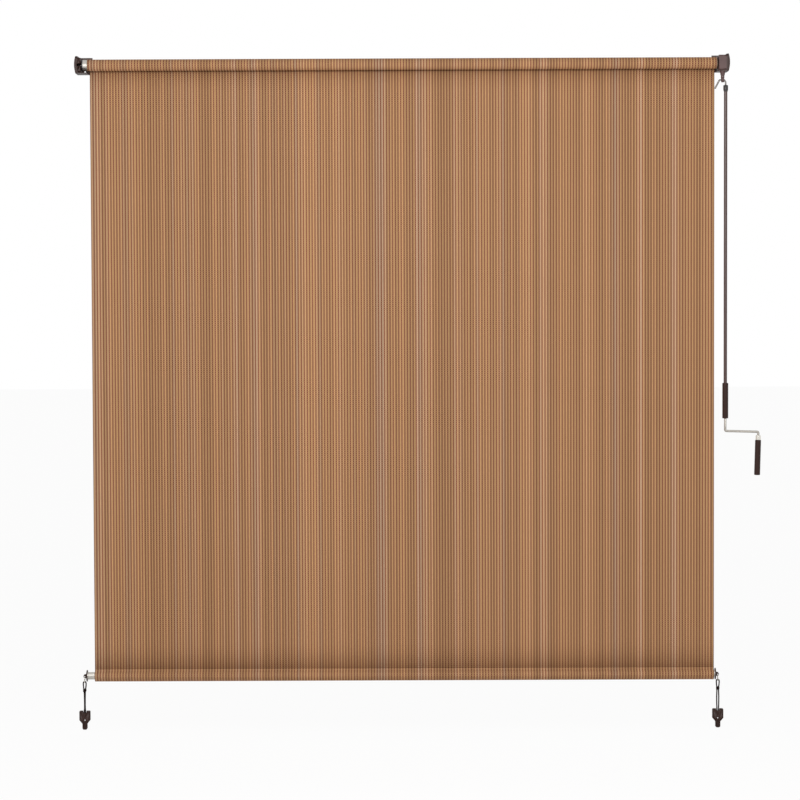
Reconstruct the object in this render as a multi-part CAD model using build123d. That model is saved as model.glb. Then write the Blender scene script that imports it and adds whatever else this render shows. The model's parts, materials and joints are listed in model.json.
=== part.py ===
"""Outdoor roller shade between two wall brackets, worked by a hanging crank.

Millimetres. X runs right, Y towards the wall, Z up. The wall is the plane Y = 0 and the
origin is the middle of the four wall screw holes, level with the roller's axis.
"""
from build123d import *
from math import cos, sin, tan, pi, radians, degrees, hypot, atan2
import os

# Cloth and roller
sheet_width = 1829.0
sheet_height = 1829.0
cloth = 0.8
cloth_web = 0.44
rib_count = 223
axis_y = -35.0
tube_r = 31.75 / 2
tube_wall = 1.6
wraps = 2
sheet_gap = 0.3

# Bottom bar and hem
bar_r = 11.0
bar_wall = 1.5
hem_height = 36.0
bar_above_hem = 17.0
pocket_clearance = 0.3

# Worm gear
module = 1.5
wheel_teeth = 16
worm_starts = 2
pressure_angle = 20.0
addendum = 1.2
wheel_dedendum = 1.9
worm_dedendum = 1.7
backlash = 0.34
worm_pitch_r = 6.0
wheel_face = 8.0
worm_length = 28.0

# Running fits, radial
shaft_fit = 0.05
grip_fit = 0.08
pin_fit = 0.10

# Brackets, gear housing and covers
plate = 2.5
screw_hole_r = 2.75
lid = 2.0
journal_r = 3.5
bush_r = 7.4
cover_depth = 7.5

# Crank
eye_hole_r = 3.2
eye_r = 8.0
eye_width = 8.0
hook_r = 2.4
pole_r = 5.0
pole_wall = 1.4
rod_r = 3.5
arm_z = -1075.0
arm_reach = 97.0
arm_droop = 1.6
grip_r = 8.75
grip_length = 104.0
grip_above_arm = 37.0

# Tie-downs
link_r = 1.1
link_height = 17.2
link_width = 11.0
bungee_r = 1.9
bungee_length = 94.0
cleat_width = 32.3
cleat_height = 55.9
cleat_thick = 9.5

# Places along X, counted from the cloth's edge
cloth_edge = sheet_width / 2
tube_left = -cloth_edge - 17.0
tube_right = cloth_edge + 3.5
bar_left = -cloth_edge - 22.0
bar_right = cloth_edge + 3.0
back_plate_in = cloth_edge - 6.5
shelf_in = cloth_edge + 3.5
lid_x = cloth_edge + 8.5
screw_hole_x = cloth_edge + 15.5
worm_x = cloth_edge + 19.5
side_in = cloth_edge + 30.0
side_out = side_in + plate
cover_out = side_out + cover_depth
pole_x = worm_x + 9.0
lug_x_left = bar_left - 8.9
lug_x_right = bar_right + 8.9

# Roller and gear places
roll_r = tube_r + wraps * cloth
sheet_y = axis_y + roll_r - cloth + sheet_gap + cloth / 2
wheel_pitch_r = module * wheel_teeth / 2
worm_y = axis_y - wheel_pitch_r - worm_pitch_r
lead = worm_starts * pi * module

# Bracket and housing, which follow the gear inside
plate_half = worm_length / 2 + 11.0
bracket_depth = 9.0 - worm_y
screw_hole_z = plate_half - 8.5
cover_half = plate_half + 0.5
house_top = plate_half - 3.0
house_bottom = -plate_half + plate
house_front = worm_y - 10.0
house_back = axis_y + 23.0
neck_bottom = -plate_half - 13.0
eye_z = neck_bottom - 11.8
hook_z = eye_z - 0.5

# Crank heights
collar_top = hook_z - 15.7
pole_top = collar_top - 9.5
collar_bottom = collar_top - 18.6
upper_grip_bottom = arm_z + grip_above_arm
upper_grip_top = upper_grip_bottom + grip_length

# Hem, bar and tie-down heights
panel_top = -sheet_gap
hem_bottom = roll_r - sheet_height
hem_top = hem_bottom + hem_height
bar_z = hem_bottom + bar_above_hem
link_z = bar_z - 3.475
loop_z = link_z - link_height + link_r + bungee_r + 0.2
bungee_end = loop_z - bungee_length
cleat_top = bungee_end + 7.7
cleat_bottom = cleat_top - cleat_height
cleat_hole_z = cleat_top - 28.0


def box(x, y, z):
    """A box from three (from, to) pairs."""
    size = [abs(b - a) for a, b in (x, y, z)]
    middle = [(a + b) / 2 for a, b in (x, y, z)]
    return Pos(*middle) * Box(*size)


def rod_x(r, x0, x1, y=axis_y, z=0.0):
    return Pos((x0 + x1) / 2, y, z) * Rot(0, 90, 0) * Cylinder(r, abs(x1 - x0))


def rod_y(r, y0, y1, x, z):
    return Pos(x, (y0 + y1) / 2, z) * Rot(90, 0, 0) * Cylinder(r, abs(y1 - y0))


def rod_z(r, z0, z1, x, y):
    return Pos(x, y, (z0 + z1) / 2) * Cylinder(r, abs(z1 - z0))


def slab_x(outline, x0, x1):
    """A prism along X over an outline of (y, z) points."""
    face = make_face(Polyline([(x0, y, z) for y, z in outline], close=True))
    return extrude(face, amount=x1 - x0, dir=(1, 0, 0))


def swept(points, radii, r):
    """A round wire or cord along straight runs with tangent arcs."""
    path = FilletPolyline(*points, radius=radii)
    start = Plane(origin=path @ 0, z_dir=path % 0)
    return sweep(start * Circle(r), path=path)


def save(name, shape):
    os.makedirs("parts", exist_ok=True)
    export_step(shape, f"parts/{name}.step")


# Brackets
def slot(width, x0, x1):
    """Pin slot, open at the front, with a round end on the roller's axis."""
    run = box((x0, x1), (-bracket_depth - 5, axis_y), (-width, width))
    return run + rod_x(width, x0, x1)


def bracket():
    """Right-hand bracket: back plate, side plate and bottom shelf bent from one blank."""
    outline = Polyline([
        (back_plate_in, 0), (side_out, 0), (side_out, -bracket_depth),
        (side_in, -bracket_depth), (side_in, -plate), (back_plate_in, -plate)], close=True)
    angle = make_face(outline)
    angle = fillet(angle.vertices().sort_by_distance((side_out, 0, 0))[0], plate + 1)
    angle = fillet(angle.vertices().sort_by_distance((side_in, -plate, 0))[0], 1)
    body = Pos(0, 0, -plate_half) * extrude(angle, amount=2 * plate_half)
    front = body.edges().filter_by(Axis.X).sort_by(Axis.Y)[:2].sort_by(Axis.Z)[-1:]
    body = fillet(front, 8)
    body += box((shelf_in, side_in), (-bracket_depth, -plate),
                (-plate_half, -plate_half + plate))
    for z in (screw_hole_z, -screw_hole_z):
        body -= rod_y(screw_hole_r, -plate - 1, 1, screw_hole_x, z)
    return body


def end_cover():
    """Right-hand cover: a thin cap with a bulged outer face."""
    bulge = cover_depth / 2
    big = (cover_half ** 2 + bulge ** 2) / (2 * bulge)

    def cap(wall):
        block = box((side_out, cover_out + 1), (house_front + wall, -1 - wall),
                    (-cover_half + wall, cover_half - wall))
        block = fillet(block.edges().filter_by(Axis.X), 6 - wall)
        return block & rod_y(big - wall, house_front - 1, 1, cover_out - big, 0)

    return cap(0) - cap(2)


# Positions of the case screws as (x of the head's seat, direction, y, z)
lid_screws = [(lid_x, 1, house_back - 4, house_top - 4),
              (lid_x, 1, house_back - 4, house_bottom + 4.5),
              (lid_x, 1, house_front + 3.5, house_top - 3.5),
              (lid_x, 1, axis_y - 3, house_bottom + 3.9)]
housing_side_screws = [(side_out, -1, house_back - 12, house_top - 4),
                       (side_out, -1, house_back - 12, house_bottom + 4.5)]
block_screws = [(-side_out, 1, house_back - 12, plate_half - 9.5),
                (-side_out, 1, house_back - 12, 9.5 - plate_half)]


def screw(seat, way, y, z):
    """Pan-head screw with a cross recess, head on one side of its seat."""
    shank = rod_x(1.5, seat, seat + way * 8, y, z)
    head = rod_x(2.75, seat - way * 1.5, seat, y, z)
    rim = head.edges().sort_by(Axis.X)[0 if way > 0 else -1]
    head = fillet(rim, 0.6)
    for wide, tall in ((3, 0.6), (0.6, 3)):
        head -= box((seat - way * 1.5, seat - way * 0.8),
                    (y - wide / 2, y + wide / 2), (z - tall / 2, z + tall / 2))
    return head + shank


def drilled(body, screws):
    """The body with a clean hole for every screw's shank."""
    for seat, way, y, z in screws:
        body -= rod_x(1.5, seat - way, seat + way * 8, y, z)
    return body


def housing_outline(x0, x1):
    block = box((x0, x1), (house_front, house_back), (house_bottom, house_top))
    return fillet(block.edges().filter_by(Axis.X), 5)


def gear_housing():
    """Open case on the side plate, with a room for the wheel and one for the worm."""
    x0, x1 = lid_x + lid, side_in
    floor = x1 - 2.5
    room = wheel_pitch_r + addendum + 1.1
    worm_room = worm_pitch_r + addendum + 0.7
    half = worm_length / 2 + 0.5
    body = housing_outline(x0, x1)
    body -= rod_x(room, x0, floor)
    body -= box((x0, floor), (worm_y - worm_room, worm_y + worm_room), (-half, half))
    body -= rod_z(journal_r + shaft_fit, half - 1, half + 6, worm_x, worm_y)
    body -= rod_z(bush_r, house_bottom, -half, worm_x, worm_y)
    body -= rod_x(3 + shaft_fit, floor - 1, x1)
    return drilled(drilled(body, lid_screws), housing_side_screws)


def gear_housing_lid():
    body = housing_outline(lid_x, lid_x + lid)
    body -= rod_x(5 + shaft_fit, lid_x, lid_x + lid)
    return drilled(body, lid_screws)


def worm_bush():
    """Plug that carries the worm from below, ending in the tapered neck."""
    top = -worm_length / 2 - 0.8
    neck = Pos(worm_x, worm_y, (-plate_half + neck_bottom) / 2) * Cone(
        5.6, 8.5, -plate_half - neck_bottom)
    body = rod_z(bush_r, -plate_half, top, worm_x, worm_y) + neck
    return body - rod_z(journal_r + shaft_fit, neck_bottom, top, worm_x, worm_y)


def idler_block():
    """Slotted block that the idler pin is pushed into from the front."""
    x0, x1 = -side_in, -side_in + 7.3
    front, half = 2 - bracket_depth, plate_half - 4
    body = box((x0, x1), (front, house_back), (-half, half))
    body = fillet(body.edges().filter_by(Axis.X), 4)
    body -= slot(3 + pin_fit, x0, x1)
    mouth = [(front - 1, 5.5), (front - 1, -5.5), (front + 3.5, -2), (front + 3.5, 2)]
    body -= slab_x(mouth, x0, x1)
    return drilled(body, block_screws)


right_bracket = drilled(bracket(), housing_side_screws)
right_bracket -= rod_z(bush_r, -plate_half, house_bottom, worm_x, worm_y)
left_bracket = drilled(mirror(bracket(), about=Plane.YZ) - slot(3.4, -side_out, -side_in),
                       block_screws)
case_screws = Compound([screw(*place) for place in
                        lid_screws + housing_side_screws + block_screws])
save("left_bracket", left_bracket)
save("right_bracket", right_bracket)
save("left_cover", mirror(end_cover(), about=Plane.YZ))
save("right_cover", end_cover())
save("gear_housing", gear_housing())
save("gear_housing_lid", gear_housing_lid())
save("worm_bush", worm_bush())
save("idler_block", idler_block())
save("case_screws", case_screws)


# Roller: tube with a spline channel, its plugs and the cloth wound on it
channel_z = tube_r - 2.15


def channel_boss(x0, x1, spare=0.0):
    return box((x0, x1), (axis_y - 3.2 - spare, axis_y + 3.2 + spare),
               (tube_r - tube_wall - 2.9 - spare, tube_r - 0.4))


def head_tube():
    x0, x1 = tube_left, tube_right
    body = rod_x(tube_r, x0, x1) - rod_x(tube_r - tube_wall, x0, x1)
    body += channel_boss(x0, x1)
    body -= rod_x(1.65, x0, x1, axis_y, channel_z)
    return body - box((x0, x1), (axis_y - 0.7, axis_y + 0.7), (channel_z, tube_r + 1))


def fabric_spline():
    return rod_x(1.6, -sheet_width / 2, sheet_width / 2, axis_y, channel_z)


def spiral_point(turn):
    """Point on the outer face of the winding; turn runs from the loose end's step."""
    r = roll_r - cloth * (1 - turn)
    return (axis_y + r * cos(2 * pi * turn), -r * sin(2 * pi * turn))


def fabric_roll():
    """The winding, with a step where the sheet leaves it at the back."""
    x0 = -sheet_width / 2
    arcs = []
    for i in range(6):
        ends = [(x0, *spiral_point((i + part) / 6)) for part in (0, 0.5, 1)]
        arcs.append(ThreePointArc(*ends))
    step = Line((x0, *spiral_point(1)), (x0, *spiral_point(0)))
    face = make_face(Wire([*[edge for arc in arcs for edge in arc.edges()], *step.edges()]))
    body = extrude(face, amount=sheet_width, dir=(1, 0, 0))
    return body - rod_x(tube_r, x0, -x0)


def plug(x0, x1):
    body = rod_x(tube_r - tube_wall, x0, x1)
    return body - channel_boss(x0, x1, 0.3)


def idler_plug():
    body = plug(tube_left, tube_left + 26) + rod_x(tube_r, tube_left - 3, tube_left)
    return body - rod_x(3, tube_left - 3, tube_left + 26)


def idler_pin():
    body = rod_x(3, -side_out + 0.2, tube_left + 20)
    return chamfer(body.edges().sort_by(Axis.X)[0], 0.8)


def hexagon(x0, x1):
    corners = [(axis_y + 5 * cos(k * pi / 3), 5 * sin(k * pi / 3)) for k in range(6)]
    return slab_x(corners, x0, x1)


def drive_plug():
    """Plug in the tube with the drive shaft: round in the lid, six-sided in the wheel."""
    body = plug(tube_right - 25, tube_right) + rod_x(tube_r, tube_right, tube_right + 3)
    inner, outer = worm_x - 7.7, worm_x + 7.0
    body += rod_x(5, tube_right + 3, inner)
    body += hexagon(inner, outer)
    return body + rod_x(3, outer, side_in - 0.5)


save("head_tube", head_tube())
save("fabric_spline", fabric_spline())
save("fabric_roll", fabric_roll())
save("idler_plug", idler_plug())
save("idler_pin", idler_pin())
save("drive_plug", drive_plug())


# Worm gear
def polar(r, angle):
    return (r * cos(angle), r * sin(angle))


def wheel_outline():
    """Corner points of the wheel's tooth form, a tooth space on the angle pi."""
    base = wheel_pitch_r * cos(radians(pressure_angle))
    tip = wheel_pitch_r + addendum
    root = wheel_pitch_r - wheel_dedendum

    def unrolled(r):
        roll = ((max(r, base) / base) ** 2 - 1) ** 0.5
        return roll - atan2(roll, 1)

    half = (pi * module / 2 - backlash) / 2 / wheel_pitch_r + unrolled(wheel_pitch_r)
    radii = [root, base] + [base + (tip - base) * step / 4 for step in range(1, 5)]
    points = []
    for tooth in range(wheel_teeth):
        middle = pi + (tooth + 0.5) * 2 * pi / wheel_teeth
        side = [(r, half - unrolled(r)) for r in radii]
        points += [polar(r, middle - a) for r, a in side]
        points += [polar(r, middle + a) for r, a in reversed(side)]
    return points


def worm_outline():
    """Edges of the worm's cross-section, a thread crest on the angle pi / 2."""
    pitch = pi * module
    slope = tan(radians(pressure_angle))

    def half(r):
        axial = pitch / 4 - (r - worm_pitch_r) * slope
        return axial / pitch * 2 * pi / worm_starts

    tip, root = worm_pitch_r + addendum, worm_pitch_r - worm_dedendum
    edges = []
    for start in range(worm_starts):
        crest = pi / 2 + start * 2 * pi / worm_starts
        following = crest + 2 * pi / worm_starts
        middle = (tip + root) / 2
        spots = [polar(tip, crest - half(tip)), polar(tip, crest), polar(tip, crest + half(tip)),
                 polar(middle, crest + half(middle)), polar(root, crest + half(root)),
                 polar(root, crest + pi / worm_starts), polar(root, following - half(root)),
                 polar(middle, following - half(middle)), polar(tip, following - half(tip))]
        for k in (0, 2, 4, 6):
            edges.append(ThreePointArc(*spots[k:k + 3]))
    return [edge for arc in edges for edge in arc.edges()]


def worm_wheel():
    twist = degrees(module / worm_pitch_r / wheel_pitch_r * wheel_face)
    section = make_face(Polyline([(*p, 0) for p in wheel_outline()], close=True))
    section = Rot(0, 0, -twist / 2) * section
    toothed = Solid.extrude_linear_with_rotation(
        section.faces()[0], (0, 0, 0), (0, 0, wheel_face), twist)
    turned = Plane(origin=(worm_x - wheel_face / 2, axis_y, 0), x_dir=(0, 1, 0), z_dir=(1, 0, 0))
    body = turned * toothed
    body += rod_x(7, worm_x - 7.6, worm_x + 7.2)
    return body - hexagon(worm_x - 8, worm_x + 8)


def worm_shaft():
    angle = 360 * worm_length / lead
    section = make_face(Wire(worm_outline()))
    section = Rot(0, 0, -angle / 2) * section
    thread = Solid.extrude_linear_with_rotation(
        section.faces()[0], (0, 0, 0), (0, 0, worm_length), angle)
    half = worm_length / 2
    body = Pos(worm_x, worm_y, -half) * thread
    body += rod_z(journal_r, neck_bottom - 0.3, -half, worm_x, worm_y)
    body += rod_z(journal_r, half, half + 6, worm_x, worm_y)
    return body + rod_z(3, eye_hub_bore, neck_bottom - 0.3, worm_x, worm_y)


# Crank eye on the worm's lower end
eye_hub_bore = neck_bottom - 5.6
eye_pin_z = neck_bottom - 2.9


def eye_pin():
    return rod_y(1.2, worm_y - 5.2, worm_y + 5.2, worm_x, eye_pin_z)


def crank_eye():
    """Hub and bell-mouthed ring that the crank's hook hangs in."""
    half = eye_width / 2
    ring = rod_x(eye_r, worm_x - half, worm_x + half, worm_y, eye_z)
    ring = fillet(ring.edges(), 1.8)
    hub = rod_z(5.2, eye_z + 4, neck_bottom - 0.3, worm_x, worm_y)
    body = ring + hub
    body -= rod_x(eye_hole_r, worm_x - half, worm_x + half, worm_y, eye_z)
    mouth = Rot(0, 90, 0) * Cone(eye_hole_r, eye_hole_r + 1.6, 1.6)
    body -= Pos(worm_x + half - 0.8, worm_y, eye_z) * mouth
    body -= Pos(worm_x - half + 0.8, worm_y, eye_z) * Rot(0, 0, 180) * mouth
    body -= rod_z(3, eye_hub_bore, neck_bottom, worm_x, worm_y)
    return body - eye_pin()


save("worm_wheel", worm_wheel())
save("worm_shaft", worm_shaft() - eye_pin())
save("eye_pin", eye_pin())
save("crank_eye", crank_eye())


# Crank: everything in the plane Y = worm_y
corner = (pole_x + arm_reach, arm_z - arm_reach * tan(radians(arm_droop)))
down = (-sin(radians(arm_droop)), -cos(radians(arm_droop)))
ferrule_from, ferrule_to = 10.5, 23.5
lower_grip_from = ferrule_to + 0.3
lower_grip_to = lower_grip_from + grip_length - 0.8


def in_plane(points):
    return [(x, worm_y, z) for x, z in points]


def along_handle(distance):
    return (corner[0] + down[0] * distance, worm_y, corner[1] + down[1] * distance)


def handle_rod(r, start, stop):
    """A round bar on the lower handle's axis between two distances from the corner."""
    where = Plane(origin=along_handle(start), z_dir=(down[0], 0, down[1]))
    return extrude(where * Circle(r), amount=stop - start)


def crank_hook():
    tip = (worm_x - 21.4, hook_z - 24.1)
    points = [(pole_x, collar_bottom + 0.6), (pole_x, hook_z - 7.3), (worm_x + 4.8, hook_z),
              (worm_x - 5, hook_z), (worm_x - 9.5, hook_z - 1.2), tip]
    body = swept(in_plane(points), [6, 5, 5, 5], hook_r)
    return body + Pos(tip[0], worm_y, tip[1]) * Sphere(hook_r)


def hook_collar():
    waist = collar_top - 13
    body = rod_z(7, waist, collar_top, pole_x, worm_y)
    body = chamfer(body.edges().sort_by(Axis.Z)[-1], 1.2)
    body += Pos(pole_x, worm_y, (waist + collar_bottom) / 2) * Cone(
        5.6, 7, waist - collar_bottom)
    body -= rod_z(hook_r, pole_top, collar_top, pole_x, worm_y)
    return body - rod_z(pole_r, collar_bottom, pole_top, pole_x, worm_y)


def crank_pole():
    bottom = upper_grip_top - 7
    return (rod_z(pole_r, bottom, pole_top, pole_x, worm_y)
            - rod_z(pole_r - pole_wall, bottom, pole_top, pole_x, worm_y))


def crank_rod():
    """Bent steel rod: up into the pole, down through both grips."""
    end = along_handle(lower_grip_to - 0.8)
    points = in_plane([(pole_x, upper_grip_top + 14), (pole_x, arm_z), corner])
    return swept(points + [end], 4.5, rod_r)


def upper_grip():
    top, bottom = upper_grip_top, upper_grip_bottom
    body = rod_z(grip_r, bottom, top, pole_x, worm_y)
    body = fillet(body.edges(), 2)
    body -= rod_z(rod_r + grip_fit, bottom, top, pole_x, worm_y)
    body -= rod_z(pole_r + 0.3, top - 7.3, top, pole_x, worm_y)
    return body - rod_z(6, bottom, bottom + 2.4, pole_x, worm_y)


def upper_grip_washer():
    z = upper_grip_bottom + 0.8
    return (rod_z(5.5, z, z + 1.2, pole_x, worm_y) - rod_z(rod_r, z, z + 1.2, pole_x, worm_y))


def handle_ferrule():
    body = handle_rod(7.75, ferrule_from, ferrule_to)
    body = fillet(body.edges().sort_by(Axis.Z)[-1], 1)
    body -= handle_rod(6.2, ferrule_from, ferrule_from + 5)
    return body - handle_rod(rod_r, ferrule_from, ferrule_to)


def lower_grip():
    body = handle_rod(grip_r, lower_grip_from, lower_grip_to)
    body = fillet(body.edges(), 2)
    body -= handle_rod(rod_r + grip_fit, lower_grip_from, lower_grip_to)
    return body - handle_rod(6, lower_grip_to - 2.4, lower_grip_to)


def lower_grip_washer():
    start = lower_grip_to - 2.0
    return handle_rod(5.5, start, start + 1.2) - handle_rod(rod_r, start, start + 1.2)


save("crank_hook", crank_hook())
save("hook_collar", hook_collar())
save("crank_pole", crank_pole())
save("crank_rod", crank_rod())
save("upper_grip", upper_grip())
save("upper_grip_washer", upper_grip_washer())
save("handle_ferrule", handle_ferrule())
save("lower_grip", lower_grip())
save("lower_grip_washer", lower_grip_washer())


# Cloth panel with its woven ribs, and the hem round the bottom bar
def fabric_panel():
    """Ribbed sheet from the roll to the hem; raised ribs on both faces."""
    pitch = sheet_width / rib_count
    left = -sheet_width / 2
    profile = [(0.0, cloth_web), (1.3, cloth_web), (2.1, cloth), (6.1, cloth), (6.9, cloth_web)]
    points = [(left + pitch * i + x, t / 2) for i in range(rib_count) for x, t in profile[1:]]
    points = [(left, cloth_web / 2)] + points + [(-left, cloth_web / 2)]
    ring = points + [(x, -y) for x, y in reversed(points)]
    face = make_face(Polyline([(x, sheet_y + y, hem_top) for x, y in ring], close=True))
    return extrude(face, amount=panel_top - hem_top, dir=(0, 0, 1))


def hem_shape(spare):
    """Outline of the pocket (spare 0) or of the cloth round it."""
    x0 = -sheet_width / 2
    side = Plane(origin=(x0, sheet_y, bar_z), x_dir=(0, 1, 0), z_dir=(1, 0, 0))
    low = hem_bottom + cloth + 0.3 - bar_z
    high = hem_top - 6 - bar_z
    circles = [Circle(bar_r + pocket_clearance + spare)]
    circles += [Pos(0, z) * Circle(0.3 + spare) for z in (low, high)]
    shape = make_hull([edge for circle in circles for edge in circle.edges()])
    return extrude(side * shape, amount=sheet_width)


def fabric_hem():
    seam = box((-sheet_width / 2, sheet_width / 2), (sheet_y - cloth, sheet_y + cloth),
               (hem_top - 7, hem_top))
    return hem_shape(cloth) + seam - hem_shape(0)


def bottom_tube():
    body = rod_x(bar_r, bar_left, bar_right, sheet_y, bar_z)
    body -= rod_x(bar_r - bar_wall, bar_left, bar_right, sheet_y, bar_z)
    front = sheet_y - bar_r
    return body - box((bar_left, bar_right), (front - 1, front + 0.8), (bar_z - 0.6, bar_z + 0.6))


def end_cap(way, tube_end, lug_x):
    """Plug, round flange and a flat lug with a hole for the link."""
    flange = tube_end + way * 2.5
    body = rod_x(bar_r - bar_wall, tube_end - way * 14, tube_end, sheet_y, bar_z)
    disc = rod_x(17, tube_end, flange, sheet_y, bar_z)
    rim = disc.edges().filter_by(GeomType.CIRCLE).sort_by(Axis.X)[-1 if way > 0 else 0]
    body += fillet(rim, 1)
    top, bottom, reach = bar_z + 6, bar_z - 7, way * 9.6
    outline = [(flange, top), (flange + reach * 0.75, top - 2), (flange + reach, top - 5.5),
               (flange + reach, bottom + 3), (flange + reach * 0.75, bottom), (flange, bottom)]
    face = make_face(Polyline([(x, sheet_y - 1.75, z) for x, z in outline], close=True))
    body += extrude(face, amount=3.5, dir=(0, 1, 0))
    return body - rod_y(2.25, sheet_y - 4, sheet_y + 4, lug_x, link_z + 0.5)


save("fabric_panel", fabric_panel())
save("fabric_hem", fabric_hem())
save("bottom_tube", bottom_tube())
save("end_cap_left", end_cap(-1, bar_left, lug_x_left))
save("end_cap_right", end_cap(1, bar_right, lug_x_right))


# Tie-downs: oval link, knotted elastic cord and cleat on each side
bungee_half = [(2.1, bungee_end), (2.7, bungee_end + 35), (2.1, loop_z - 26),
               (4.4, loop_z - 9.5), (3.8, loop_z)]


def link(x):
    """Closed oval of round wire that hangs in the lug."""
    half, round_r = link_height / 2, link_width / 2
    run = half - round_r
    middle = link_z - half
    side = Plane(origin=(x, sheet_y, middle), x_dir=(0, 1, 0), z_dir=(1, 0, 0))
    arms = [Line((round_r, -run), (round_r, run)), Line((-round_r, run), (-round_r, -run))]
    bows = [ThreePointArc((round_r, run), (0, half), (-round_r, run)),
            ThreePointArc((-round_r, -run), (0, -half), (round_r, -run))]
    path = side * Wire([edge for part in arms + bows for edge in part.edges()])
    start = Plane(origin=(x, sheet_y + round_r, middle), z_dir=(0, 0, 1))
    return sweep(start * Circle(link_r), path=path)


def arc_radii(points):
    """Arc radius at every inner corner: 0.45 of the shorter run over tan of the half turn."""
    radii = []
    for a, b, c in zip(points, points[1:], points[2:]):
        first, second = (b[0] - a[0], b[1] - a[1]), (c[0] - b[0], c[1] - b[1])
        cross = first[0] * second[1] - first[1] * second[0]
        dot = first[0] * second[0] + first[1] * second[1]
        turn = abs(atan2(cross, dot))
        radii.append(0.45 * min(hypot(*first), hypot(*second)) / tan(turn / 2))
    return radii


def bungee(x):
    """Doubled elastic cord through the link, with the knot that closes its loop."""
    flat = [(-px, pz) for px, pz in bungee_half] + list(reversed(bungee_half))
    radii = arc_radii(flat)
    print("bungee arc radii", [round(r, 1) for r in radii])
    knot_z = loop_z - 25.6
    knot = rod_z(3.9, knot_z - 4.9, knot_z + 4.8, x, sheet_y)
    for up, lean in ((4, 10), (0, -8), (-4, 9)):
        knot += Pos(x, sheet_y, knot_z + up) * Rot(lean, lean / 2, 0) * Torus(3.7, 2.0)
    return swept([(x + px, sheet_y, pz) for px, pz in flat], radii, bungee_r) + knot


def cleat(x):
    """Flat tie-down cleat with a notch for the cord, a screw hole and raised ribs."""
    half, tail, thick = cleat_width / 2, 7.25, cleat_thick / 2
    shoulder, hip = cleat_top - 27.5, cleat_top - 38.1
    outline = [(-half, cleat_top), (half, cleat_top), (half, shoulder), (tail, hip),
               (tail, cleat_bottom), (-tail, cleat_bottom), (-tail, hip), (-half, shoulder)]
    face = make_face(Polyline([(x + px, sheet_y - thick, pz) for px, pz in outline], close=True))
    body = extrude(face, amount=cleat_thick, dir=(0, 1, 0))
    uprights = body.edges().filter_by(Axis.Y)
    body = fillet(uprights.sort_by(Axis.Z)[:2], 5)
    uprights = body.edges().filter_by(Axis.Y)
    body = fillet(uprights.sort_by(Axis.Z)[-2:], 3)
    front = body.faces().sort_by(Axis.Y)[0]
    inner = offset(front, -2.2, kind=Kind.INTERSECTION)
    body -= extrude(inner, amount=1.4, dir=(0, 1, 0))
    body += (rod_y(4.6, sheet_y - thick, sheet_y, x, cleat_hole_z)
             + cleat_rib(x, (-10, cleat_top - 4), (0, cleat_hole_z))
             + cleat_rib(x, (10, cleat_top - 4), (0, cleat_hole_z))
             + cleat_rib(x, (0, cleat_bottom + 3), (0, cleat_hole_z)))
    notch = box((x - 5.2, x + 5.2), (sheet_y - 8, sheet_y + 8), (cleat_top - 1.5, cleat_top + 1))
    notch += rod_y(5.2, sheet_y - 8, sheet_y + 8, x, cleat_top - 1.5)
    body -= notch
    slot_end = bungee_end - 1
    body -= box((x - 2.1, x + 2.1), (sheet_y - 2, sheet_y + 2), (slot_end, cleat_top))
    for side in (-2.1, 2.1):
        body -= rod_z(2, slot_end, cleat_top, x + side, sheet_y)
    return body - rod_y(2.1, sheet_y - 8, sheet_y + 8, x, cleat_hole_z)


def cleat_rib(x, a, b):
    """Raised rib on the cleat's front from one (x, z) point to another."""
    run = (b[0] - a[0], b[1] - a[1])
    length = hypot(*run)
    side = (run[1] / length, -run[0] / length)
    outline = [(p[0] + s * side[0], p[1] + s * side[1]) for p, s in
               ((a, 1.0), (b, 1.0), (b, -1.0), (a, -1.0))]
    y = sheet_y - cleat_thick / 2
    face = make_face(Polyline([(x + px, y, pz) for px, pz in outline], close=True))
    return extrude(face, amount=2.4, dir=(0, 1, 0))


for name, x in (("left", lug_x_left), ("right", lug_x_right)):
    save(f"link_{name}", link(x))
    save(f"bungee_cord_{name}", bungee(x))
    save(f"cleat_{name}", cleat(x))
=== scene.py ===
import json
from math import asin, cos, hypot, pi, radians, sin

import bmesh
import bpy
from mathutils import Matrix, Vector

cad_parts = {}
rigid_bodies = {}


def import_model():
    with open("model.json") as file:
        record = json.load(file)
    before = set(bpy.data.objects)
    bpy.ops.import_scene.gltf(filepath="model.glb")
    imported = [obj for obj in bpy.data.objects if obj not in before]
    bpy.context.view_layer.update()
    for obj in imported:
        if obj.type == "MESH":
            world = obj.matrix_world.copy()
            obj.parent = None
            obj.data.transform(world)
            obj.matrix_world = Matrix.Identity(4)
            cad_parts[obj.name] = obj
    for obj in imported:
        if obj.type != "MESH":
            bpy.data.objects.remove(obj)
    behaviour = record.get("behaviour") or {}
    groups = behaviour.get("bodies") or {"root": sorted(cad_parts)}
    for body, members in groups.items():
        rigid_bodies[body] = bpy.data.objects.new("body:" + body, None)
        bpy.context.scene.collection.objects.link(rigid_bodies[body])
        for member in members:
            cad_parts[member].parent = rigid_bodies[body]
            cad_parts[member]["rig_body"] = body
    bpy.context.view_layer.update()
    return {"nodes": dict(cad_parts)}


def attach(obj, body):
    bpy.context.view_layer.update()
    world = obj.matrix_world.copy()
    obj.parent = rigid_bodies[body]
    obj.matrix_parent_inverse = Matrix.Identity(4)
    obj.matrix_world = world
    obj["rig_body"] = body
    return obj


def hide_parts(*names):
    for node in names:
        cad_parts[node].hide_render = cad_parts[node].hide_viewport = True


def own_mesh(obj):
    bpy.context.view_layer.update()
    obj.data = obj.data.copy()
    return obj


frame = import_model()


# Camera. It stands a little above the middle of the shade, seven metres off, and looks slightly
# down, as the photograph was taken. The small turn and roll are the photograph's own.
camera_place = (0.0, -7.318, -0.690)
turned = 0.076
looks_down = 2.290
rolled = -0.225
photo_lens = bpy.data.cameras.new("photo_lens")
photo_lens.sensor_width = 36.0
photo_lens.lens = 111.7
camera = bpy.data.objects.new("photo_camera", photo_lens)
bpy.context.scene.collection.objects.link(camera)
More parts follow.
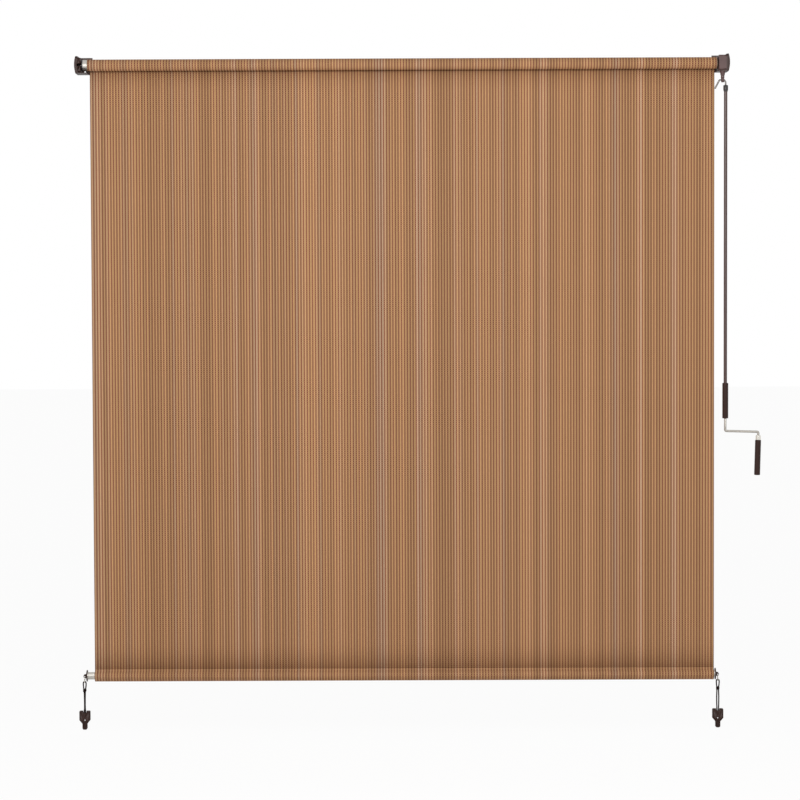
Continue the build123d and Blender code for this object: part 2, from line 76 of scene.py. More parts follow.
camera.matrix_world = (
    Matrix.Translation(camera_place)
    @ Matrix.Rotation(radians(turned), 4, "Z")
    @ Matrix.Rotation(radians(90 - looks_down), 4, "X")
    @ Matrix.Rotation(radians(rolled), 4, "Z"))
bpy.context.scene.camera = camera
bpy.context.scene.view_settings.view_transform = "Standard"


# Small functions that the sections below share.
def linear(hex_colour):
    """Linear colour of an sRGB hex value."""
    parts = [int(hex_colour[i:i + 2], 16) / 255 for i in (1, 3, 5)]
    parts = [c / 12.92 if c <= 0.04045 else ((c + 0.055) / 1.055) ** 2.4 for c in parts]
    return (*parts, 1.0)


def add(tree, kind, inputs=None, **settings):
    """One node with its settings; each input is a value or the socket that feeds it."""
    node = tree.nodes.new(kind)
    for name, value in settings.items():
        setattr(node, name, value)
    for name, value in (inputs or {}).items():
        if isinstance(value, bpy.types.NodeSocket):
            tree.links.new(value, node.inputs[name])
        else:
            node.inputs[name].default_value = value
    return node


def new_finish(name):
    """An empty material, with its node tree and the shader that faces the output."""
    finish = bpy.data.materials.new(name)
    finish.use_nodes = True
    finish.node_tree.nodes.clear()
    shader = add(finish.node_tree, "ShaderNodeBsdfPrincipled")
    add(finish.node_tree, "ShaderNodeOutputMaterial", {"Surface": shader.outputs[0]})
    return finish, finish.node_tree, shader


def shown(name, data):
    """An object of this data, linked into the scene."""
    piece = bpy.data.objects.new(name, data)
    bpy.context.scene.collection.objects.link(piece)
    return piece


# Tie-down cords. Elastic cord in a braided polyester sleeve, doubled through the link and closed
# by a knot. Its two ends are pressed into the notch of the cleat.
# Braided sleeve: a dull chequer. The real strands, under a millimetre wide, are too fine to show,
# so the bands are drawn 6.6 mm apart along the cord.
braid, tree, shader = new_finish("braided polyester sleeve")
place = add(tree, "ShaderNodeTexCoord")
strands = add(tree, "ShaderNodeTexWave", {"Vector": place.outputs["Object"], "Scale": 95.0,
                                          "Distortion": 0.6}, bands_direction="DIAGONAL")
tone = add(tree, "ShaderNodeMix", {0: strands.outputs["Fac"], 6: linear("#150c0a"),
                                   7: linear("#281a17")}, data_type="RGBA")
relief = add(tree, "ShaderNodeBump", {"Height": strands.outputs["Fac"], "Strength": 0.25,
                                      "Distance": 0.0002})
tree.links.new(tone.outputs[2], shader.inputs["Base Color"])
tree.links.new(relief.outputs[0], shader.inputs["Normal"])
shader.inputs["Roughness"].default_value = 0.9
shader.inputs["Specular IOR Level"].default_value = 0.08

cord_diameter = 0.0038
cord_y = -0.017625

# The way of half of each cord, from its end in the cleat up into the link: x and y from the
# cord's middle line, and z. The other half is the same, turned about that line. The strands of
# the left cord are twisted round each other, and those of the right one bow apart.
loop_route = [(0.0021, 0.0, -1.8380), (0.0044, 0.0, -1.8215), (0.0038, 0.0, -1.8120)]
twisted = [(0.0021, 0.0, -1.9060), (0.0017, 0.0010, -1.8985), (0.0006, 0.0021, -1.8900),
           (0.0006, 0.0023, -1.8710), (0.0012, 0.0016, -1.8460)] + loop_route
bowed = [(0.0021, 0.0, -1.9060), (0.0036, 0.0, -1.8710)] + loop_route


knot_foot = -1.8420
knot_height = 0.0088
knot_turns = 3.1
knot_reach = 0.0036
knot_taper = 0.0016
knot_lean = 0.0009
knot_points = 34


def knot_mesh(x):
    """Three turns of the same cord round the two strands, drawn tight."""
    line = bpy.data.curves.new("knot_line", "CURVE")
    line.dimensions = "3D"
    line.bevel_depth = cord_diameter / 2
    line.bevel_resolution = 3
    line.resolution_u = 3
    turn = line.splines.new("NURBS")
    turn.points.add(knot_points - 1)
    for i, point in enumerate(turn.points):
        share = i / (knot_points - 1)
        angle = share * knot_turns * 2 * pi
        reach = knot_reach - knot_taper * abs(2 * share - 1) ** 6
        lean = knot_lean * sin(angle + 0.6)
        point.co = (x + reach * cos(angle), cord_y + reach * sin(angle),
                    knot_foot + knot_height * share + lean, 1)
    turn.order_u = 4
    turn.use_endpoint_u = True
    carrier = shown("knot_line", line)
    bpy.context.view_layer.update()
    mesh = bpy.data.meshes.new_from_object(
        carrier.evaluated_get(bpy.context.evaluated_depsgraph_get()))
    bpy.data.objects.remove(carrier)
    return mesh


for side, x, body, half_route in (("left", -0.9454, "tie_left", twisted),
                                  ("right", 0.9264, "tie_right", bowed)):
    cord_line = bpy.data.curves.new(f"bungee_{side}", "CURVE")
    cord_line.dimensions = "3D"
    cord_line.bevel_depth = cord_diameter / 2
    cord_line.bevel_resolution = 4
    cord_line.resolution_u = 12
    cord_line.use_fill_caps = True
    route = [(-px, -py, pz) for px, py, pz in half_route] + list(reversed(half_route))
    run = cord_line.splines.new("NURBS")
    run.points.add(len(route) - 1)
    for point, (px, py, pz) in zip(run.points, route):
        point.co = (x + px, cord_y + py, pz, 1)
    run.order_u = 3
    run.use_endpoint_u = True
    cord = shown(f"bungee_{side}", cord_line)
    cord_line.materials.append(braid)
    knot = shown(f"bungee_knot_{side}", knot_mesh(x))
    knot.data.shade_smooth()
    knot.data.materials.clear()
    knot.data.materials.append(braid)
    for piece in (cord, knot):
        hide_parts(f"bungee_cord_{side}")
        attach(piece, body)


# Cleats, links and end caps at the foot. The cleats and caps are injection-moulded nylon; each
# link is a closed oval of stainless wire that hangs in the cap's lug.
weld_gap = 0.000004


def dressed(node, finish, crease=32.0):
    """A copy of a CAD piece, smooth over its curves and sharp where faces meet at the crease."""
    mesh = frame["nodes"][node].data.copy()
    work = bmesh.new()
    work.from_mesh(mesh)
    bmesh.ops.remove_doubles(work, verts=work.verts, dist=weld_gap)
    work.to_mesh(mesh)
    work.free()
    mesh.shade_smooth()
    mesh.set_sharp_from_angle(angle=radians(crease))
    piece = shown(f"{node}_finished", mesh)
    piece.data.materials.clear()
    piece.data.materials.append(finish)
    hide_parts(node)
    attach(piece, frame["nodes"][node]["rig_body"])
    return piece


# Moulded nylon: a faint orange-peel of 1.1 mm from the mould, and 17 mm blotches where the skin
# is lighter and duller.
nylon, tree, shader = new_finish("moulded nylon")
place = add(tree, "ShaderNodeTexCoord")
peel = add(tree, "ShaderNodeTexNoise", {"Vector": place.outputs["Object"], "Scale": 900.0,
                                        "Detail": 3.0})
blotch = add(tree, "ShaderNodeTexNoise", {"Vector": place.outputs["Object"], "Scale": 60.0,
                                          "Detail": 2.0})
tone = add(tree, "ShaderNodeMix", {0: blotch.outputs["Fac"], 6: linear("#2a1610"),
                                   7: linear("#3b251e")}, data_type="RGBA")
gloss = add(tree, "ShaderNodeMapRange", {"Value": blotch.outputs["Fac"], "To Min": 0.38,
                                         "To Max": 0.55})
relief = add(tree, "ShaderNodeBump", {"Height": peel.outputs["Fac"], "Strength": 0.35,
                                      "Distance": 0.0002})
tree.links.new(tone.outputs[2], shader.inputs["Base Color"])
tree.links.new(gloss.outputs[0], shader.inputs["Roughness"])
tree.links.new(relief.outputs[0], shader.inputs["Normal"])
shader.inputs["Specular IOR Level"].default_value = 0.3

# Stainless wire: drawn metal, bright, with dull spots of about 1.4 mm.
wire, tree, shader = new_finish("drawn stainless wire")
place = add(tree, "ShaderNodeTexCoord")
drawn = add(tree, "ShaderNodeTexNoise", {"Vector": place.outputs["Object"], "Scale": 700.0})
gloss = add(tree, "ShaderNodeMapRange", {"Value": drawn.outputs["Fac"], "To Min": 0.22,
                                         "To Max": 0.38})
shader.inputs["Base Color"].default_value = linear("#cfc9c0")
shader.inputs["Metallic"].default_value = 1.0
tree.links.new(gloss.outputs[0], shader.inputs["Roughness"])

for side in ("left", "right"):
    dressed(f"cleat_{side}", nylon)
    dressed(f"link_{side}", wire, crease=60)
    dressed(f"end_cap_{side}", nylon)


# Hem bar. Extruded aluminium tube with a groove along its front, pushed into the hem's pocket.
# Mill finish aluminium: soft bright lines from the die, 1.1 mm apart and long along the tube.
mill, tree, shader = new_finish("mill finish aluminium")
place = add(tree, "ShaderNodeTexCoord")
stretched = add(tree, "ShaderNodeMapping", {"Vector": place.outputs["Object"],
                                            "Scale": (6.0, 900.0, 900.0)})
die_lines = add(tree, "ShaderNodeTexNoise", {"Vector": stretched.outputs[0], "Scale": 1.0,
                                             "Detail": 4.0})
tone = add(tree, "ShaderNodeMix", {0: die_lines.outputs["Fac"], 6: linear("#a9a59e"),
                                   7: linear("#cbc8c1")}, data_type="RGBA")
gloss = add(tree, "ShaderNodeMapRange", {"Value": die_lines.outputs["Fac"], "To Min": 0.32,
                                         "To Max": 0.5})
tree.links.new(tone.outputs[2], shader.inputs["Base Color"])
tree.links.new(gloss.outputs[0], shader.inputs["Roughness"])
shader.inputs["Metallic"].default_value = 0.85
dressed("bottom_tube", mill)


# The cloth. One length of knitted polyethylene shade cloth, ribbed along its drop. It is drawn
# here as the hem, the hanging panel and the roll, because these ride on different pieces.
sheet_width = 1.829
rib_count = 217
rib_pitch = sheet_width / rib_count
stitch_pitch = 0.0060
cloth_base = 0.00050
rib_height = 0.00020
axis_y = -0.035
tube_r = 0.015875
wound = 0.0008
sheet_y = -0.017625
panel_top = -0.0003
hem_start = 1.7752
hem_bottom = -1.811525
hem_top = hem_bottom + 0.036
bar_z = hem_bottom + 0.017
pocket_r = 0.0117

# Knitted cloth: ribs of tan flat tape 8.4 mm apart, with red-brown monofilament between them,
# tied every 6 mm, so the eye sees upright stripes of tan with dark dots. Each rib takes the dye
# a little differently, which shows as broad upright bands.
knit, tree, shader = new_finish("knitted polyethylene")
way = add(tree, "ShaderNodeUVMap", uv_map="weave")
axes = add(tree, "ShaderNodeSeparateXYZ", {0: way.outputs[0]})


# Across the cloth: which rib, how far from its middle, and which line of thread lies nearest.
in_ribs = add(tree, "ShaderNodeMath", {0: axes.outputs["X"], 1: rib_pitch}, operation="DIVIDE")
rib_number = add(tree, "ShaderNodeMath", {0: in_ribs.outputs[0]}, operation="FLOOR")
part_of_rib = add(tree, "ShaderNodeMath", {0: in_ribs.outputs[0]}, operation="FRACT")
from_middle = add(tree, "ShaderNodeMath", {0: part_of_rib.outputs[0], 1: 0.5},
                  operation="SUBTRACT")
distance = add(tree, "ShaderNodeMath", {0: from_middle.outputs[0]}, operation="ABSOLUTE")
tape = add(tree, "ShaderNodeMapRange", {"Value": distance.outputs[0], "From Min": 0.16,
                                        "From Max": 0.32, "To Min": 1.0, "To Max": 0.0},
           interpolation_type="SMOOTHSTEP")
in_lines = add(tree, "ShaderNodeMath", {0: in_ribs.outputs[0], 1: 0.5}, operation="ADD")
line_number = add(tree, "ShaderNodeMath", {0: in_lines.outputs[0]}, operation="FLOOR")

# Down the cloth: a smooth wave that rises once a stitch.
stitches = add(tree, "ShaderNodeMath", {0: axes.outputs["Y"], 1: stitch_pitch},
               operation="DIVIDE")
turn = add(tree, "ShaderNodeMath", {0: stitches.outputs[0], 1: 2 * pi}, operation="MULTIPLY")
wave = add(tree, "ShaderNodeMath", {0: turn.outputs[0]}, operation="SINE")
bead = add(tree, "ShaderNodeMapRange", {"Value": wave.outputs[0], "From Min": -0.7,
                                        "From Max": 0.7, "To Min": 0.0, "To Max": 1.0},
           interpolation_type="SMOOTHSTEP")

# Dye of each rib and each line of thread, broad bands of 6 cm, and fuzz of about 4 mm.
rib_dye = add(tree, "ShaderNodeTexWhiteNoise", {"W": rib_number.outputs[0]},
              noise_dimensions="1D")
line_dye = add(tree, "ShaderNodeTexWhiteNoise", {"W": line_number.outputs[0]},
               noise_dimensions="1D")
band = add(tree, "ShaderNodeTexNoise", {"W": axes.outputs["X"], "Scale": 16.0, "Detail": 4.0,
                                        "Roughness": 0.75}, noise_dimensions="1D")
fuzz = add(tree, "ShaderNodeTexNoise", {"Vector": way.outputs[0], "Scale": 260.0,
                                        "Detail": 3.0, "Roughness": 0.7})

# Colours: the thread darkens once a stitch, and the tape greys where a band is pale.
line = add(tree, "ShaderNodeMix", {0: bead.outputs[0], 6: linear("#683a28"),
                                   7: linear("#a57357")}, data_type="RGBA")
greyed = add(tree, "ShaderNodeMapRange", {"Value": band.outputs["Fac"], "From Min": 0.50,
                                          "From Max": 0.68, "To Min": 0.0, "To Max": 0.75},
             interpolation_type="SMOOTHSTEP")
strand = add(tree, "ShaderNodeMix", {0: greyed.outputs[0], 6: linear("#bb9266"),
                                     7: linear("#b79c84")}, data_type="RGBA")
yarns = add(tree, "ShaderNodeMix", {0: tape.outputs[0], 6: line.outputs[2],
                                    7: strand.outputs[2]}, data_type="RGBA")
tape_light = add(tree, "ShaderNodeMapRange", {"Value": bead.outputs[0], "To Min": 1.16,
                                              "To Max": 0.86})
light = 1.0
for value, low, high, dark, bright in ((rib_dye.outputs["Value"], 0.0, 1.0, 0.90, 1.10),
                                       (line_dye.outputs["Value"], 0.0, 1.0, 0.92, 1.08),
                                       (band.outputs["Fac"], 0.3, 0.7, 0.93, 1.07),
                                       (fuzz.outputs["Fac"], 0.25, 0.75, 0.80, 1.20),
                                       (tape.outputs[0], 0.0, 1.0, 1.0, tape_light.outputs[0])):
    factor = add(tree, "ShaderNodeMapRange", {"Value": value, "From Min": low, "From Max": high,
                                              "To Min": dark, "To Max": bright})
    product = add(tree, "ShaderNodeMath", {0: light, 1: factor.outputs[0]},
                  operation="MULTIPLY")
    light = product.outputs[0]
shaded = add(tree, "ShaderNodeVectorMath", {0: yarns.outputs[2], "Scale": light},
             operation="SCALE")
tied = add(tree, "ShaderNodeMath", {0: tape.outputs[0], 1: bead.outputs[0]},
           operation="MULTIPLY")
relief = add(tree, "ShaderNodeBump", {"Height": tied.outputs[0], "Strength": 0.6,
                                      "Distance": 0.0003})
tree.links.new(shaded.outputs[0], shader.inputs["Base Color"])
tree.links.new(relief.outputs[0], shader.inputs["Normal"])
shader.inputs["Roughness"].default_value = 0.8
shader.inputs["Specular IOR Level"].default_value = 0.2

# Knitted ribs: pushes a smooth sheet out along its normals wherever a rib's tape lies.
ribs = bpy.data.node_groups.new("woven_ribs", "GeometryNodeTree")
for name, kind, way_in in (("Cloth", "NodeSocketGeometry", "INPUT"),
                           ("Rib pitch", "NodeSocketFloat", "INPUT"),
                           ("Rib height", "NodeSocketFloat", "INPUT"),
                           ("Left edge", "NodeSocketFloat", "INPUT"),
                           ("Finish", "NodeSocketMaterial", "INPUT"),
                           ("Cloth", "NodeSocketGeometry", "OUTPUT")):
    ribs.interface.new_socket(name, in_out=way_in, socket_type=kind)
given = add(ribs, "NodeGroupInput")
where = add(ribs, "GeometryNodeInputPosition")
spot = add(ribs, "ShaderNodeSeparateXYZ", {0: where.outputs[0]})
from_edge = add(ribs, "ShaderNodeMath", {0: spot.outputs["X"], 1: given.outputs["Left edge"]},
                operation="SUBTRACT")
in_ribs = add(ribs, "ShaderNodeMath", {0: from_edge.outputs[0], 1: given.outputs["Rib pitch"]},
              operation="DIVIDE")
part_of_rib = add(ribs, "ShaderNodeMath", {0: in_ribs.outputs[0]}, operation="FRACT")
from_middle = add(ribs, "ShaderNodeMath", {0: part_of_rib.outputs[0], 1: 0.5},
                  operation="SUBTRACT")
distance = add(ribs, "ShaderNodeMath", {0: from_middle.outputs[0]}, operation="ABSOLUTE")
crest = add(ribs, "ShaderNodeMapRange", {"Value": distance.outputs[0], "From Min": 0.18,
                                         "From Max": 0.38, "To Max": 0.0,
                                         "To Min": given.outputs["Rib height"]},
            interpolation_type="SMOOTHSTEP")
outward = add(ribs, "GeometryNodeInputNormal")
push = add(ribs, "ShaderNodeVectorMath", {0: outward.outputs[0], "Scale": crest.outputs[0]},
           operation="SCALE")
raised = add(ribs, "GeometryNodeSetPosition", {"Geometry": given.outputs["Cloth"],
                                               "Offset": push.outputs[0]})
real = add(ribs, "GeometryNodeRealizeInstances", {"Geometry": raised.outputs[0]})
dyed = add(ribs, "GeometryNodeSetMaterial", {"Geometry": real.outputs[0],
                                             "Material": given.outputs["Finish"]})
add(ribs, "NodeGroupOutput", {"Cloth": dyed.outputs[0]})


def cloth_piece(name, path, columns_at, start, spare=0.0):
    """Ribbed cloth that follows a path of (y, z) points.

    columns_at holds where each rib's columns of points stand, as shares of its width. start is
    how far down the cloth the path begins, so that the stitches run on, and spare is how much
    wider it is on each side than the sheet.
    """
    half = cloth_base / 2
    sides = []
    for i, (y, z) in enumerate(path):
        before, after = path[max(i - 1, 0)], path[min(i + 1, len(path) - 1)]
        run = (after[0] - before[0], after[1] - before[1])
        length = hypot(*run)
        sides.append((-run[1] / length * half, run[0] / length * half))
    travelled = [start]
    for a, b in zip(path, path[1:]):
        travelled.append(travelled[-1] + hypot(b[0] - a[0], b[1] - a[1]))
    ring = [(y + sy, z + sz, v) for (y, z), (sy, sz), v in zip(path, sides, travelled)]
    ring += [(y - sy, z - sz, v)
             for (y, z), (sy, sz), v in reversed(list(zip(path, sides, travelled)))]
    across = [-sheet_width / 2 + rib_pitch * (rib + share)
              for rib in range(rib_count) for share in columns_at] + [sheet_width / 2]
    across[0] -= spare
    across[-1] += spare
    work = bmesh.new()
    weave = work.loops.layers.uv.new("weave")
    columns = [[work.verts.new((x, y, z)) for y, z, _ in ring] for x in across]
    last = len(ring)
    for i in range(len(columns) - 1):
        u0, u1 = across[i] + sheet_width / 2, across[i + 1] + sheet_width / 2
        for j in range(last):
            k = (j + 1) % last
            face = work.faces.new((columns[i][j], columns[i][k], columns[i + 1][k],
                                   columns[i + 1][j]))
            face.smooth = True
            for loop, uv in zip(face.loops, ((u0, ring[j][2]), (u0, ring[k][2]),
                                             (u1, ring[k][2]), (u1, ring[j][2]))):
                loop[weave].uv = uv
    for column in (columns[0], columns[-1]):
        for j in range(len(path) - 1):
            work.faces.new((column[j], column[j + 1], column[last - 2 - j],
                            column[last - 1 - j]))
    bmesh.ops.recalc_face_normals(work, faces=work.faces)
    mesh = bpy.data.meshes.new(name)
    work.to_mesh(mesh)
    work.free()
    piece = shown(name, mesh)
    ribbed = piece.modifiers.new("woven_ribs", "NODES")
    ribbed.node_group = ribs
    values = {"Rib pitch": rib_pitch, "Rib height": rib_height,
              "Left edge": -sheet_width / 2, "Finish": knit}
    for socket in ribs.interface.items_tree:
        if socket.in_out == "INPUT" and socket.name in values:
            ribbed[socket.identifier] = values[socket.name]
    bpy.context.view_layer.update()
    plain = bpy.data.meshes.new_from_object(
        piece.evaluated_get(bpy.context.evaluated_depsgraph_get()))
    piece.modifiers.clear()
    piece.data = plain
    return piece


def arc(centre, r, start, stop, count):
    """Points on an arc; 0 points to the wall and 90 up."""
    return [(centre[0] + r * cos(radians(start + (stop - start) * i / count)),
             centre[1] + r * sin(radians(start + (stop - start) * i / count)))
            for i in range(count + 1)]


# Shares of a rib's width at which its columns of points stand: six for the panel, which is seen
# best, and four for the hem and the roll.
rough_ribs = (0, 0.2, 0.5, 0.8)
fine_ribs = (0, 0.14, 0.3, 0.5, 0.7, 0.86)

# Hem: the cloth goes down the front of the bar, folds below it and comes up the back. Above the
# bar its two layers lie against each other, down to the foot of the seam.
layer = 0.00042
seam_foot = hem_top - 0.007
fold_r = 0.0009
fold_z = hem_bottom + fold_r + cloth_base / 2
upper_lean = asin((pocket_r - layer) / (seam_foot - bar_z))
lower_lean = asin((pocket_r - fold_r) / (bar_z - fold_z))
front = [(sheet_y - layer, hem_top), (sheet_y - layer, hem_top - 0.0035),
         (sheet_y - layer, seam_foot)]
front += arc((sheet_y, bar_z), pocket_r, 180 - upper_lean * 180 / pi,
             180 + lower_lean * 180 / pi, 8)
fold = arc((sheet_y, fold_z), fold_r, 180 + lower_lean * 180 / pi,
           360 - lower_lean * 180 / pi, 6)
back = [(2 * sheet_y - y, z) for y, z in reversed(front)]
hem = cloth_piece("cloth_hem", front + fold + back, rough_ribs, hem_start)
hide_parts("fabric_hem")
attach(hem, "rail")

# Panel: hangs straight from the back of the roll to the hem.
rows = 22
drop = [(sheet_y, panel_top + (hem_top - panel_top) * i / rows) for i in range(rows + 1)]
panel = cloth_piece("cloth_panel", drop, fine_ribs, 0.0)
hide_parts("fabric_panel")
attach(panel, "frame")
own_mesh(panel)

# Roll: what is still wound on the tube with the shade let down. It leaves at the back, where
# its last eighth of a turn comes away from the roll. It is drawn a little wider than the sheet,
# as the photograph shows it.
wound_degrees = 450
step_degrees = 15
leaving_degrees = 45
lift_off = 0.0003
roll_spare = 0.0042
turns = []
for i in range(wound_degrees // step_degrees + 1):
    degree = wound_degrees - step_degrees * i
    outer = tube_r + 1.5 * wound + lift_off * max(0, 1 - degree / leaving_degrees)
    r = max(outer - wound * degree / 360, tube_r + 0.5 * wound)
    turns.append((axis_y + r * cos(radians(degree)), r * sin(radians(degree))))
length = sum(hypot(b[0] - a[0], b[1] - a[1]) for a, b in zip(turns, turns[1:]))
roll = cloth_piece("cloth_roll", turns, rough_ribs, -length, spare=roll_spare)
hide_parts("fabric_roll")
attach(roll, "roller")


# Roller tube, its plugs and the parts inside. The tube is extruded aluminium, the plugs are
# moulded, and the pin is zinc-plated steel.
dressed("head_tube", mill)

# Zinc-plated steel: cool grey metal with a cloudy grain of 4 mm.
zinc, tree, shader = new_finish("zinc plated steel")
place = add(tree, "ShaderNodeTexCoord")
cloud = add(tree, "ShaderNodeTexNoise", {"Vector": place.outputs["Object"], "Scale": 240.0,
                                         "Detail": 4.0})
tone = add(tree, "ShaderNodeMix", {0: cloud.outputs["Fac"], 6: linear("#8f8a84"),
                                   7: linear("#bdb8b0")}, data_type="RGBA")
gloss = add(tree, "ShaderNodeMapRange", {"Value": cloud.outputs["Fac"], "To Min": 0.25,
                                         "To Max": 0.42})
tree.links.new(tone.outputs[2], shader.inputs["Base Color"])
tree.links.new(gloss.outputs[0], shader.inputs["Roughness"])
shader.inputs["Metallic"].default_value = 1.0

# Black acetal of the plugs and the hook's collar: moulded, near black, with a faint peel of
# about 1.3 mm.
black, tree, shader = new_finish("black acetal")
place = add(tree, "ShaderNodeTexCoord")
peel = add(tree, "ShaderNodeTexNoise", {"Vector": place.outputs["Object"], "Scale": 800.0,
                                        "Detail": 3.0})
tone = add(tree, "ShaderNodeMix", {0: peel.outputs["Fac"], 6: linear("#262322"),
                                   7: linear("#383433")}, data_type="RGBA")
relief = add(tree, "ShaderNodeBump", {"Height": peel.outputs["Fac"], "Strength": 0.3,
                                      "Distance": 0.0002})
tree.links.new(tone.outputs[2], shader.inputs["Base Color"])
tree.links.new(relief.outputs[0], shader.inputs["Normal"])
shader.inputs["Roughness"].default_value = 0.42
dressed("idler_plug", black)
dressed("drive_plug", black)
dressed("idler_pin", zinc)


# Brackets and covers. Bent steel plate, powder coated dark brown, closed outside by moulded
# covers that snap over the side plates.
# Powder coat: a dull skin with a fine even texture of 0.8 mm and 22 mm clouds of colour.
coat, tree, shader = new_finish("brown powder coat")
place = add(tree, "ShaderNodeTexCoord")
grain = add(tree, "ShaderNodeTexNoise", {"Vector": place.outputs["Object"], "Scale": 1300.0,
                                         "Detail": 2.0})
cloud = add(tree, "ShaderNodeTexNoise", {"Vector": place.outputs["Object"], "Scale": 45.0})
tone = add(tree, "ShaderNodeMix", {0: cloud.outputs["Fac"], 6: linear("#301d17"),
                                   7: linear("#432e27")}, data_type="RGBA")
relief = add(tree, "ShaderNodeBump", {"Height": grain.outputs["Fac"], "Strength": 0.35,
                                      "Distance": 0.00015})
tree.links.new(tone.outputs[2], shader.inputs["Base Color"])
tree.links.new(relief.outputs[0], shader.inputs["Normal"])
shader.inputs["Roughness"].default_value = 0.5
for side in ("left", "right"):
    dressed(f"{side}_bracket", coat)
    dressed(f"{side}_cover", nylon)
dressed("idler_block", nylon)
dressed("case_screws", zinc, crease=40)


# Gear housing with its lid and neck, in a redder brown than the covers.
# Glass-filled nylon: matt from the fibres at its skin, which show as spots of 2 mm.
filled, tree, shader = new_finish("glass filled nylon")
place = add(tree, "ShaderNodeTexCoord")
fibre = add(tree, "ShaderNodeTexNoise", {"Vector": place.outputs["Object"], "Scale": 500.0,
                                         "Detail": 4.0})
cloud = add(tree, "ShaderNodeTexNoise", {"Vector": place.outputs["Object"], "Scale": 50.0})
tone = add(tree, "ShaderNodeMix", {0: cloud.outputs["Fac"], 6: linear("#4a3331"),
                                   7: linear("#5e4643")}, data_type="RGBA")
relief = add(tree, "ShaderNodeBump", {"Height": fibre.outputs["Fac"], "Strength": 0.4,
                                      "Distance": 0.0002})
tree.links.new(tone.outputs[2], shader.inputs["Base Color"])
tree.links.new(relief.outputs[0], shader.inputs["Normal"])
shader.inputs["Roughness"].default_value = 0.55
for node in ("gear_housing", "gear_housing_lid", "worm_bush"):
    dressed(node, filled)

# Worm gear inside, and the eye below it in the housing's colour.
# Cream acetal of the wheel and the spline: moulded, smooth, barely clouded.
acetal, tree, shader = new_finish("cream acetal")
place = add(tree, "ShaderNodeTexCoord")
peel = add(tree, "ShaderNodeTexNoise", {"Vector": place.outputs["Object"], "Scale": 600.0})
tone = add(tree, "ShaderNodeMix", {0: peel.outputs["Fac"], 6: linear("#cfc8b4"),
                                   7: linear("#ded8c6")}, data_type="RGBA")
tree.links.new(tone.outputs[2], shader.inputs["Base Color"])
shader.inputs["Roughness"].default_value = 0.4

# Turned brass of the worm: tool rings 0.35 mm apart.
brass, tree, shader = new_finish("turned brass")
place = add(tree, "ShaderNodeTexCoord")
turning = add(tree, "ShaderNodeTexWave", {"Vector": place.outputs["Object"], "Scale": 900.0,
                                          "Distortion": 1.0}, bands_direction="Z")
gloss = add(tree, "ShaderNodeMapRange", {"Value": turning.outputs["Fac"], "To Min": 0.2,
                                         "To Max": 0.4})
shader.inputs["Base Color"].default_value = linear("#c9a45a")
shader.inputs["Metallic"].default_value = 1.0
tree.links.new(gloss.outputs[0], shader.inputs["Roughness"])

dressed("worm_wheel", acetal)
dressed("worm_shaft", brass)
dressed("fabric_spline", acetal)
dressed("crank_eye", filled)
dressed("eye_pin", zinc)


# Crank. A steel hook in a black collar, a brown painted pole, and a bent steel rod that turns
# in two glossy grips.
# Oiled steel of the hook: darker and duller than the plated parts, with clouds of 3 mm.
dark_steel, tree, shader = new_finish("oiled steel")
place = add(tree, "ShaderNodeTexCoord")
cloud = add(tree, "ShaderNodeTexNoise", {"Vector": place.outputs["Object"], "Scale": 300.0})
tone = add(tree, "ShaderNodeMix", {0: cloud.outputs["Fac"], 6: linear("#5d5a57"),
                                   7: linear("#7d7975")}, data_type="RGBA")
tree.links.new(tone.outputs[2], shader.inputs["Base Color"])
shader.inputs["Metallic"].default_value = 1.0
shader.inputs["Roughness"].default_value = 0.35
dressed("crank_hook", dark_steel, crease=60)
dressed("hook_collar", black)

# Brown enamel of the pole: sprayed, fairly glossy, with streaks 3 mm wide and 12 cm long.
paint, tree, shader = new_finish("brown enamel")
place = add(tree, "ShaderNodeTexCoord")
along = add(tree, "ShaderNodeMapping", {"Vector": place.outputs["Object"],
                                        "Scale": (300.0, 300.0, 8.0)})
streak = add(tree, "ShaderNodeTexNoise", {"Vector": along.outputs[0], "Scale": 1.0,
                                          "Detail": 3.0})
tone = add(tree, "ShaderNodeMix", {0: streak.outputs["Fac"], 6: linear("#3a2421"),
                                   7: linear("#523a36")}, data_type="RGBA")
tree.links.new(tone.outputs[2], shader.inputs["Base Color"])
shader.inputs["Roughness"].default_value = 0.35
dressed("crank_pole", paint, crease=40)
dressed("crank_rod", zinc, crease=60)

# Nickel-plated steel of the ferrule: a near mirror, dulled in spots of 3 mm by handling.
chrome, tree, shader = new_finish("nickel plated steel")
place = add(tree, "ShaderNodeTexCoord")
wear = add(tree, "ShaderNodeTexNoise", {"Vector": place.outputs["Object"], "Scale": 300.0})
gloss = add(tree, "ShaderNodeMapRange", {"Value": wear.outputs["Fac"], "To Min": 0.12,
                                         "To Max": 0.25})
shader.inputs["Base Color"].default_value = linear("#dcd8d0")
shader.inputs["Metallic"].default_value = 1.0
tree.links.new(gloss.outputs[0], shader.inputs["Roughness"])
dressed("handle_ferrule", chrome)

# Glossy vinyl of the grips: dipped, dark and shiny, with 8 mm clouds of colour.
vinyl, tree, shader = new_finish("glossy vinyl")
place = add(tree, "ShaderNodeTexCoord")
ripple = add(tree, "ShaderNodeTexNoise", {"Vector": place.outputs["Object"], "Scale": 120.0})
tone = add(tree, "ShaderNodeMix", {0: ripple.outputs["Fac"], 6: linear("#28120c"),
                                   7: linear("#361f18")}, data_type="RGBA")
tree.links.new(tone.outputs[2], shader.inputs["Base Color"])
shader.inputs["Roughness"].default_value = 0.25
shader.inputs["Specular IOR Level"].default_value = 0.25
dressed("upper_grip", vinyl, crease=40)
dressed("lower_grip", vinyl, crease=40)
dressed("upper_grip_washer", zinc)
dressed("lower_grip_washer", zinc)


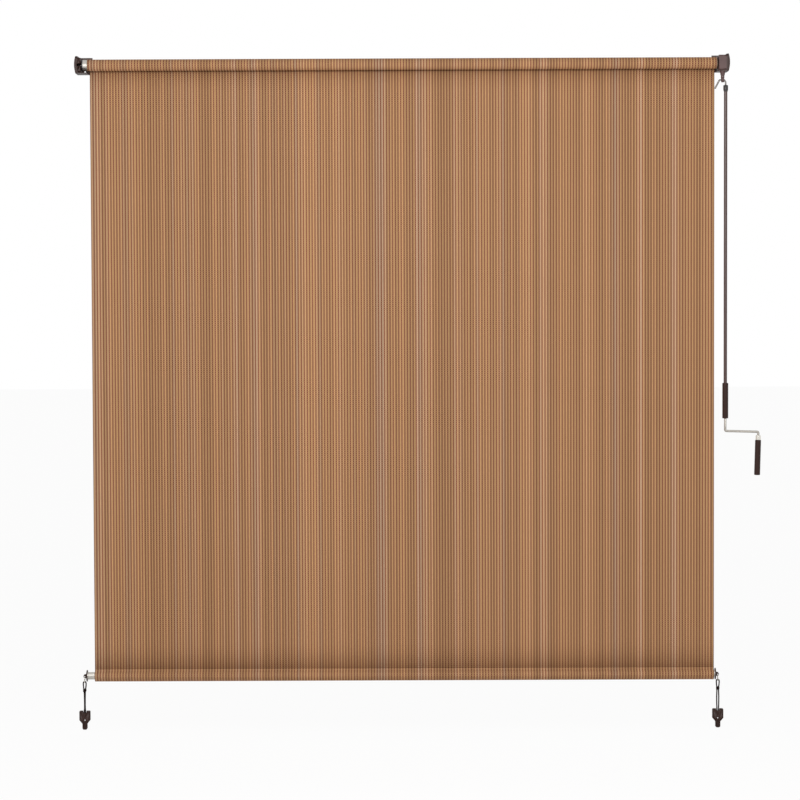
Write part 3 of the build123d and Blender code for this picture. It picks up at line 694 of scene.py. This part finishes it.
# Floor, room and lamp. A pale floor under a white room, with one large soft lamp straight ahead,
# just above the roller, so that a colour renders about as it is written.
def seen_directly(tree):
    """Socket that is 1 for a ray from the camera, a mirror or a glass, and else 0."""
    rays = add(tree, "ShaderNodeLightPath")
    seen = add(tree, "ShaderNodeMath", {0: rays.outputs["Is Camera Ray"],
                                        1: rays.outputs["Is Glossy Ray"]}, operation="MAXIMUM")
    seen_too = add(tree, "ShaderNodeMath", {0: seen.outputs[0],
                                            1: rays.outputs["Is Transmission Ray"]},
                   operation="MAXIMUM")
    return seen_too.outputs[0]


# Pale floor: plain white where it is seen, but for one part in twenty that takes the shadow.
white_share = 0.95
floor_z = -2.0
floor_half = 30
ground, tree, shader = new_finish("pale floor")
shader.inputs["Base Color"].default_value = linear("#f4f3f1")
shader.inputs["Roughness"].default_value = 0.9
share = add(tree, "ShaderNodeMath", {0: seen_directly(tree), 1: white_share},
            operation="MULTIPLY")
glow = add(tree, "ShaderNodeEmission", {"Strength": 1.0})
both = add(tree, "ShaderNodeMixShader", {0: share.outputs[0], 1: shader.outputs[0],
                                         2: glow.outputs[0]})
output = [node for node in tree.nodes if node.type == "OUTPUT_MATERIAL"][0]
tree.links.new(both.outputs[0], output.inputs["Surface"])
floor_mesh = bpy.data.meshes.new("floor")
floor_mesh.from_pydata([(-floor_half, -floor_half, floor_z), (floor_half, -floor_half, floor_z),
                        (floor_half, floor_half, floor_z), (-floor_half, floor_half, floor_z)],
                       [], [(0, 1, 2, 3)])
floor = shown("floor", floor_mesh)
floor_mesh.materials.append(ground)

# White room: full white where it is seen, and a weaker fill of light on the shade.
fill = 0.35
room = bpy.data.worlds.new("white_room")
bpy.context.scene.world = room
room.use_nodes = True
room.node_tree.nodes.clear()
level = add(room.node_tree, "ShaderNodeMapRange", {"Value": seen_directly(room.node_tree),
                                                   "To Min": fill, "To Max": 1.0})
sky = add(room.node_tree, "ShaderNodeBackground", {"Color": (1, 1, 1, 1),
                                                   "Strength": level.outputs[0]})
add(room.node_tree, "ShaderNodeOutputWorld", {"Surface": sky.outputs[0]})

# Lamp: it is turned to a point a little above the middle of the shade.
lamp_target = (0, 0, -0.8)
softbox = bpy.data.lights.new("softbox", "AREA")
softbox.shape = "RECTANGLE"
softbox.size = 2.2
softbox.size_y = 1.2
softbox.energy = 76.0
lamp = shown("softbox", softbox)
lamp.location = (0.0, -3.2, 0.2)
lamp.rotation_euler = (Vector(lamp_target) - lamp.location).to_track_quat("-Z", "Y").to_euler()
